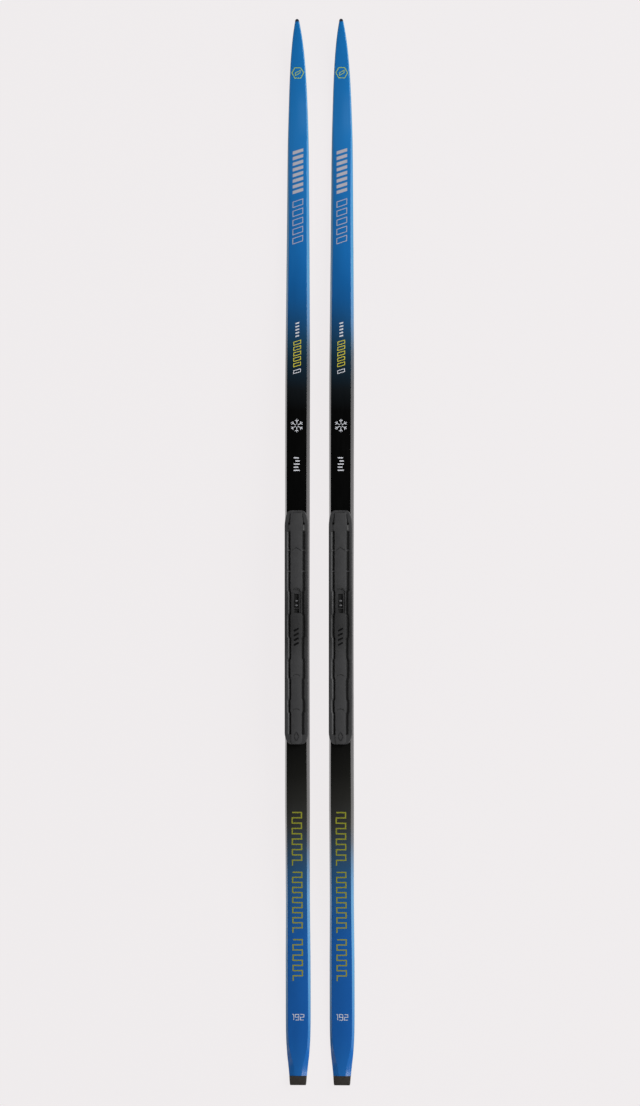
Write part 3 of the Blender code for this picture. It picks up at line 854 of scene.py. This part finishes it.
def numerals(y, height, line):
    """The ski's length in centimetres, in plain numerals."""
    width = 0.62 * height
    gap = 0.30 * height
    half = height / 2
    one = [(-0.40 * width, half), (0.0, half), (0.0, -half)]
    nine = [(width, -half), (2 * width, -half), (2 * width, half), (width, half), (width, 0.0),
            (2 * width - line / 2, 0.0)]
    two = [(0.0, half), (width, half), (width, 0.0), (0.0, 0.0), (0.0, -half), (width, -half)]
    digits = ((-0.75 * width - gap, one), (-1.75 * width, nine), (0.25 * width + gap, two))
    return [stroke([(start + x, y + up) for x, up in points], line) for start, points in digits]


def repeated(motif, count, start, pitch, *measures):
    """Copies of one motif along the ski."""
    return [motif(start + i * pitch, *measures) for i in range(count)]


def motifs(ski, inks):
    """Every printed motif. All are plain geometry in the places and colours of the ski's print.

    The measures of a bar are its width, length and slant. A frame's line width follows them.
    """
    info_bars = []
    for i, (offset, width) in enumerate(((0.0, 0.0108), (-0.0012, 0.0084), (0.0, 0.0108),
                                         (0.0016, 0.0076), (-0.0008, 0.0092))):
        y = 0.1480 + i * 0.0056
        info_bars.append(stroke([(offset - width / 2, y), (offset + width / 2, y)], 0.0022))
    waves = [battlement(start, end, 0.0190, 0.0088, 0.0023)
             for start, end in ((-0.7730, -0.6960), (-0.6860, -0.5740), (-0.5640, -0.4660))]
    printed = (
        ("tip_emblem", "lime", [hexagon(0.8645, 0.0106, 0.0012),
                                tilted_frame(0.8645, 0.0085, 0.0046, 0.0046, 0.0010)]),
        ("solid_bars", "grey", repeated(slanted_bar, 8, 0.6520, 0.0102, 0.0190, 0.0058, 0.0060)),
        ("outlined_bars", "grey",
         repeated(tilted_frame, 5, 0.5640, 0.0165, 0.0178, 0.0098, 0.0060, 0.0012)),
        ("small_bars", "white", repeated(slanted_bar, 5, 0.3900, 0.0058, 0.0068, 0.0026, 0.0020)),
        ("yellow_frames", "yellow",
         repeated(tilted_frame, 5, 0.3388, 0.0098, 0.0125, 0.0056, 0.0036, 0.0012)),
        ("white_frame", "white", [tilted_frame(0.3265, 0.0125, 0.0052, 0.0036, 0.0012)]),
        ("snow_crystal", "white", crystal(0.2285, 0.0118, 0.0012)),
        ("info_bars", "white", info_bars),
        ("square_waves", "olive", waves),
        ("length_numerals", "white", numerals(-0.8375, 0.0100, 0.0011)),
    )
    for name, ink, strips in printed:
        decal(ski, name, strips, inks[ink])


# ---------- materials

def cap_lacquer(half_pitch):
    """Glossy printed cap: blue, fading to black. The skis' middles are half_pitch off X 0."""
    tail, tip = -0.96, 0.96
    # Each stop is its place along Y, then red, green and blue.
    stops = (
        (-0.940, 30, 94, 162), (-0.870, 26, 85, 155), (-0.700, 26, 84, 153), (-0.616, 34, 82, 132),
        (-0.572, 39, 75, 110), (-0.529, 46, 62, 78), (-0.490, 48, 49, 48), (-0.443, 36, 36, 34),
        (-0.399, 24, 24, 22), (-0.345, 14, 14, 13), (-0.280, 6, 6, 6), (0.255, 6, 6, 6),
        (0.294, 16, 20, 23), (0.348, 19, 40, 55), (0.375, 23, 54, 76), (0.402, 24, 64, 100),
        (0.456, 20, 81, 137), (0.490, 20, 88, 149), (0.546, 24, 97, 161), (0.763, 32, 108, 171),
        (0.940, 22, 104, 170),
    )
    recipe = Recipe("cap_lacquer", specular=0.4)
    along = recipe.spread(recipe.axis("Y"), tail, tip)
    colour = recipe.ramp(along, [((y - tail) / (tip - tail), linear(*rgb)) for y, *rgb in stops])

    across = recipe.axis("X")
    centre = recipe.product(recipe.math("SIGN", across), half_pitch)
    from_centre = recipe.math("SUBTRACT", across, centre)
    # Painted light: each ski's cap is painted up to a tenth lighter towards its right side and darker
    # towards its left, as the stronger light from the right would make it.
    side_light = recipe.spread(from_centre, -0.018, 0.018, 0.90, 1.10)
    colour = recipe.times(colour, side_light)

    # Painted reflection: where the cap is blue, its sloping flanks are painted a paler blue that
    # stands in for the bright floor they reflect.
    side_share = recipe.spread(recipe.upward(), 0.85, 0.45)
    front_blue = recipe.spread(recipe.axis("Y"), 0.36, 0.50)
    rear_blue = recipe.spread(recipe.axis("Y"), -0.52, -0.62)
    flank_sheen_share = recipe.product(side_share, recipe.math("ADD", front_blue, rear_blue))
    painted_flank_sheen = recipe.mix(front_blue, linear(66, 132, 172), linear(48, 122, 160))
    colour = recipe.mix(recipe.product(flank_sheen_share, 0.85), colour, painted_flank_sheen)

    flow = recipe.spread(recipe.noise(9.0, 3.0, (6.0, 1.0, 6.0)), 0.3, 0.7, 0.96, 1.04)
    colour = recipe.times(colour, flow)

    hatch = recipe.lines(0.0030, "X", turn=math.radians(38))
    zone = recipe.product(recipe.spread(recipe.axis("Y"), 0.750, 0.775),
                          recipe.spread(recipe.axis("Y"), 0.835, 0.805))
    zone = recipe.product(zone, recipe.spread(from_centre, -0.004, 0.008))
    hatch_share = recipe.product(recipe.product(hatch, zone), 0.07)
    colour = recipe.mix(hatch_share, colour, linear(150, 190, 220))
    recipe.colour(colour)

    haze = recipe.noise(60.0, 4.0, (3.0, 0.4, 3.0))
    scratches = recipe.spread(recipe.noise(900.0, 2.0, (1.0, 0.02, 1.0)), 0.62, 0.75)
    gloss = recipe.spread(haze, 0.3, 0.7, 0.13, 0.21)
    recipe.roughness(recipe.math("MULTIPLY_ADD", scratches, 0.06, gloss))
    peel = recipe.noise(420.0, 2.0)
    recipe.bump((peel, 0.000015), (scratches, 0.000006))
    return recipe


def sole_plastic():
    """Sintered running base with a fine stone ground structure along the ski."""
    recipe = Recipe("sole_plastic", specular=0.35)
    recipe.colour(mottled(recipe, linear(27, 27, 28), 0.22, 140.0, (1.0, 0.15, 1.0)))
    ground = recipe.lines(0.0007, "X", distortion=1.5)
    cross = recipe.lines(0.0016, "X", turn=math.radians(6), distortion=0.6)
    recipe.uneven(recipe.noise(700.0, 2.0, (1.0, 0.03, 1.0)), 0.34, 0.52)
    recipe.bump((ground, 0.00003), (cross, 0.00002))
    return recipe


def edge_plastic():
    """Hard edge strip, with lengthwise finishing marks."""
    recipe = Recipe("edge_plastic", specular=0.4)
    recipe.colour(mottled(recipe, linear(34, 34, 35), 0.18, 220.0, (1.0, 0.1, 1.0)))
    marks = recipe.noise(1500.0, 3.0, (1.0, 0.02, 1.0))
    recipe.uneven(marks, 0.32, 0.50)
    recipe.bump((marks, 0.00002))
    return recipe


def moulded(name, colour, roughness=0.5, scratched=0.08, levels=(), darker_zone=None):
    """Moulded plastic with a spark eroded grain, uneven gloss and fine rub marks.

    Levels are (height, brightness): painted shade makes a low surface darker than a high one.
    A zone along Y is darker too. It starts and ends gradually, between its four places.
    """
    darkest = 0.48
    recipe = Recipe(name, specular=0.45)
    base = mottled(recipe, colour, 0.10, 55.0)
    # Painted shade: the lower the surface, the darker it is painted.
    if levels:
        low, high = levels[0][0], levels[-1][0]
        share = recipe.spread(recipe.axis("Z"), low, high)
        stops = [((z - low) / (high - low), (b, b, b, 1.0)) for z, b in levels]
        base = recipe.mix(1.0, base, recipe.ramp(share, stops), "MULTIPLY")
    if darker_zone:
        along = recipe.axis("Y")
        zone = recipe.product(recipe.spread(along, *darker_zone[:2]),
                              recipe.spread(along, *reversed(darker_zone[2:])))
        base = recipe.times(base, recipe.spread(zone, 0.0, 1.0, 1.0, darkest))
    rubs = recipe.spread(recipe.noise(650.0, 2.0, (1.0, 0.06, 1.0), 0.25), 0.63, 0.74)
    pale = (*(c * 1.9 + 0.01 for c in colour[:3]), 1.0)
    recipe.colour(recipe.mix(recipe.product(rubs, scratched), base, pale))
    recipe.uneven(recipe.noise(120.0, 3.0), roughness - 0.06, roughness + 0.06)
    grain = recipe.cells(2600.0)
    recipe.bump((grain, 0.00004), (rubs, 0.00001))
    return recipe


def plate_painted_shade(top):
    """Painted shade on the plate by height: nearly black channel floors, darker rails and a dark line
    just under the strip's top edge, up to its unshaded middle strip.
    """
    in_channel = ((1.0, 0.02), (0.92, 0.10), (0.78, 0.70))         # (share of the drop, brightness)
    at_rail = ((1.4, 0.95), (1.1, 0.95), (0.8, 0.45), (0.3, 0.25), (0.12, 1.0), (0.0, 1.0))
    levels = [(top - share * CHANNEL_DROP, brightness) for share, brightness in in_channel]
    return levels + [(top - share * RAIL_DROP, brightness) for share, brightness in at_rail]


def print_ink(name, colour):
    """Screen printed ink, a little uneven, with pinholes."""
    recipe = Recipe(name, specular=0.4)
    grain = recipe.noise(1400.0, 2.0)
    body = mottled(recipe, colour, 0.06, 90.0)
    worn = recipe.spread(grain, 0.70, 0.78, 0.0, 0.5)
    recipe.colour(recipe.mix(worn, body, (*(c * 0.5 for c in colour[:3]), 1.0)))
    recipe.uneven(recipe.noise(200.0), 0.26, 0.38)
    recipe.bump((grain, 0.00001))
    return recipe


def carbon_laminate():
    """Carbon fibre cloth in resin."""
    recipe = Recipe("carbon_laminate", specular=0.5)
    warp = recipe.lines(0.0020, "X")
    weft = recipe.lines(0.0020, "Y")
    tows = recipe.spread(recipe.math("SUBTRACT", warp, weft), -0.2, 0.2)
    recipe.colour(recipe.mix(tows, linear(18, 18, 20), linear(46, 47, 50)))
    fibre = recipe.noise(4000.0, 1.0, (1.0, 0.05, 1.0))
    recipe.uneven(fibre, 0.24, 0.42)
    recipe.bump((tows, 0.00003), (fibre, 0.000008))
    return recipe


def glass_laminate():
    """Glass fibre sheet, pale green and streaky along the ski."""
    recipe = Recipe("glass_laminate", specular=0.5)
    strands = recipe.noise(1800.0, 3.0, (1.0, 0.03, 1.0))
    recipe.colour(recipe.mix(strands, linear(142, 150, 122), linear(196, 201, 176)))
    recipe.uneven(strands, 0.30, 0.50)
    recipe.bump((strands, 0.00003))
    return recipe


def core_foam():
    """Closed cell foam."""
    recipe = Recipe("core_foam", roughness=0.85, specular=0.3)
    cells = recipe.cells(1500.0)
    recipe.colour(recipe.mix(cells, linear(196, 176, 128), linear(226, 211, 170)))
    recipe.bump((cells, 0.0002))
    return recipe


def core_wood():
    """Light wood with its grain along the ski."""
    recipe = Recipe("core_wood", roughness=0.65, specular=0.3)
    rings = recipe.lines(0.0035, "X", distortion=2.5)
    fibre = recipe.noise(900.0, 4.0, (1.0, 0.03, 1.0))
    tone = recipe.mix(rings, linear(176, 132, 84), linear(206, 167, 118))
    recipe.colour(recipe.mix(recipe.spread(fibre, 0.35, 0.65, 0.0, 0.45), tone, linear(146, 104, 62)))
    recipe.bump((fibre, 0.00008))
    return recipe


def glue_film():
    """Cured grey adhesive with small bubbles."""
    recipe = Recipe("glue_film", roughness=0.7, specular=0.3)
    bubbles = recipe.cells(900.0)
    share = recipe.spread(bubbles, 0.0, 0.5)
    recipe.colour(recipe.mix(share, linear(96, 96, 97), linear(128, 128, 128)))
    recipe.bump((bubbles, 0.00005))
    return recipe


# ---------- the studio

FLOOR_GLOW = 0.838
FLOOR_SHADE = (0.030, 0.029, 0.029, 1.0)
FLOOR_TINT = (1.0, 0.968, 0.977, 1.0)
SIDE_LIGHT = 985.0             # watts, as are the next three
CREASE_LIGHT = 38.0
FILL_LIGHT = 100.0
END_LIGHT = 60.0
WORLD = 0.01


def studio_floor():
    """A pale floor that runs up into a backdrop far behind the skis, all round."""
    flat_radius, wall_radius, wall_height = 18.0, 27.0, 8.0
    below = 0.0004             # gap under the skis
    segments, bends = 96, 12
    profile = [(0.5, 0.0), (2.0, 0.0), (6.0, 0.0), (flat_radius, 0.0)]
    for i in range(1, bends + 1):
        turn = math.pi / 2 * i / bends
        profile.append((flat_radius + (wall_radius - flat_radius) * math.sin(turn),
                        wall_height * (1 - math.cos(turn))))
    shape = bmesh.new()
    rows = [ring(shape, ellipse(0.0, 0.0, radius, radius, segments), z - below)
            for radius, z in profile]
    shape.faces.new(rows[0])
    bridge(shape, rows)
    floor = mesh_object("studio_floor", shape)
    recipe = Recipe("studio_paper", roughness=0.9, specular=0.1)
    recipe.colour(mottled(recipe, FLOOR_SHADE, 0.01, 3.0))
    recipe.shader.inputs["Emission Color"].default_value = FLOOR_TINT
    recipe.shader.inputs["Emission Strength"].default_value = FLOOR_GLOW
    floor.data.materials.append(recipe.material)


def area_light(name, azimuth, elevation, distance, size, watts):
    """A soft square light that faces the skis. Azimuth 0 is towards +X."""
    turn, rise = math.radians(azimuth), math.radians(elevation)
    way = Vector((math.cos(turn) * math.cos(rise), math.sin(turn) * math.cos(rise), math.sin(rise)))
    data = bpy.data.lights.new(name, "AREA")
    data.shape = "SQUARE"
    data.size = size
    data.energy = watts
    light = bpy.data.objects.new(name, data)
    light.location = way * distance
    light.rotation_euler = way.to_track_quat("Z", "Y").to_euler()
    light.visible_camera = False
    bpy.context.scene.collection.objects.link(light)


def studio():
    studio_floor()
    area_light("side_light", 19.0, 34.0, 8.0, 6.0, SIDE_LIGHT)
    area_light("crease_light", 0.0, 64.0, 8.0, 1.4, CREASE_LIGHT)
    area_light("fill_light", 200.0, 27.0, 8.0, 6.0, FILL_LIGHT)
    area_light("end_light", 270.0, 40.0, 9.0, 3.0, END_LIGHT)
    world = bpy.data.worlds.new("studio_dark")
    world.use_nodes = True
    background = world.node_tree.nodes["Background"]
    background.inputs["Color"].default_value = (WORLD, WORLD, WORLD, 1.0)
    bpy.context.scene.world = world
    bpy.context.scene.view_settings.view_transform = "Standard"


# ---------- everything together

add_camera()
left, right = Ski("left"), Ski("right")

lacquer = cap_lacquer((right.centre - left.centre) / 2)
sole = sole_plastic()
edge = edge_plastic()
tail_plastic = moulded("tail_plastic", linear(38, 33, 28))
tip_plastic = moulded("tip_plastic", linear(14, 26, 44))
# Painted shade on the plate: its channels, rails and the strip's edge are darkened by height.
levels = plate_painted_shade(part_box("left_binding_plate")[1].z - PRINT)
plate_plastic = moulded("plate_plastic", linear(49, 49, 50), 0.55, scratched=0.12, levels=levels,
                        darker_zone=(-0.055, -0.085, -0.150, -0.190))
peg_plastic = moulded("peg_plastic", linear(84, 84, 86), 0.4)
ink_colours = {"yellow": (196, 188, 62), "lime": (162, 188, 66), "olive": (132, 134, 42),
               "grey": (168, 165, 172), "white": (198, 200, 206), "black": (8, 8, 9)}
inks = {name: print_ink(name + "_ink", linear(*colour)) for name, colour in ink_colours.items()}
inner_finish = (
    (carbon_laminate(), ("base_laminate", "top_laminate")),
    (glass_laminate(), ("binding_reinforcement",)),
    (core_foam(), ("core_rear", "core_front")),
    (core_wood(), ("core_middle",)),
    (glue_film(), ("plate_adhesive",)),
    (moulded("filler_plastic", linear(92, 92, 94), 0.6), ("tail_filler", "tip_filler")),
)

for ski in (left, right):
    cap(ski, lacquer)
    running_base(ski, sole)
    edge_strips(ski, edge)
    guards(ski, tail_plastic, tip_plastic)
    binding_plate(ski, plate_plastic, peg_plastic, inks["black"])
    motifs(ski, inks)
    for recipe, nodes in inner_finish:
        for node in nodes:
            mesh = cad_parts[f"{ski.name}_{node}"].data
            mesh.materials.clear()
            mesh.materials.append(recipe.material)

studio()
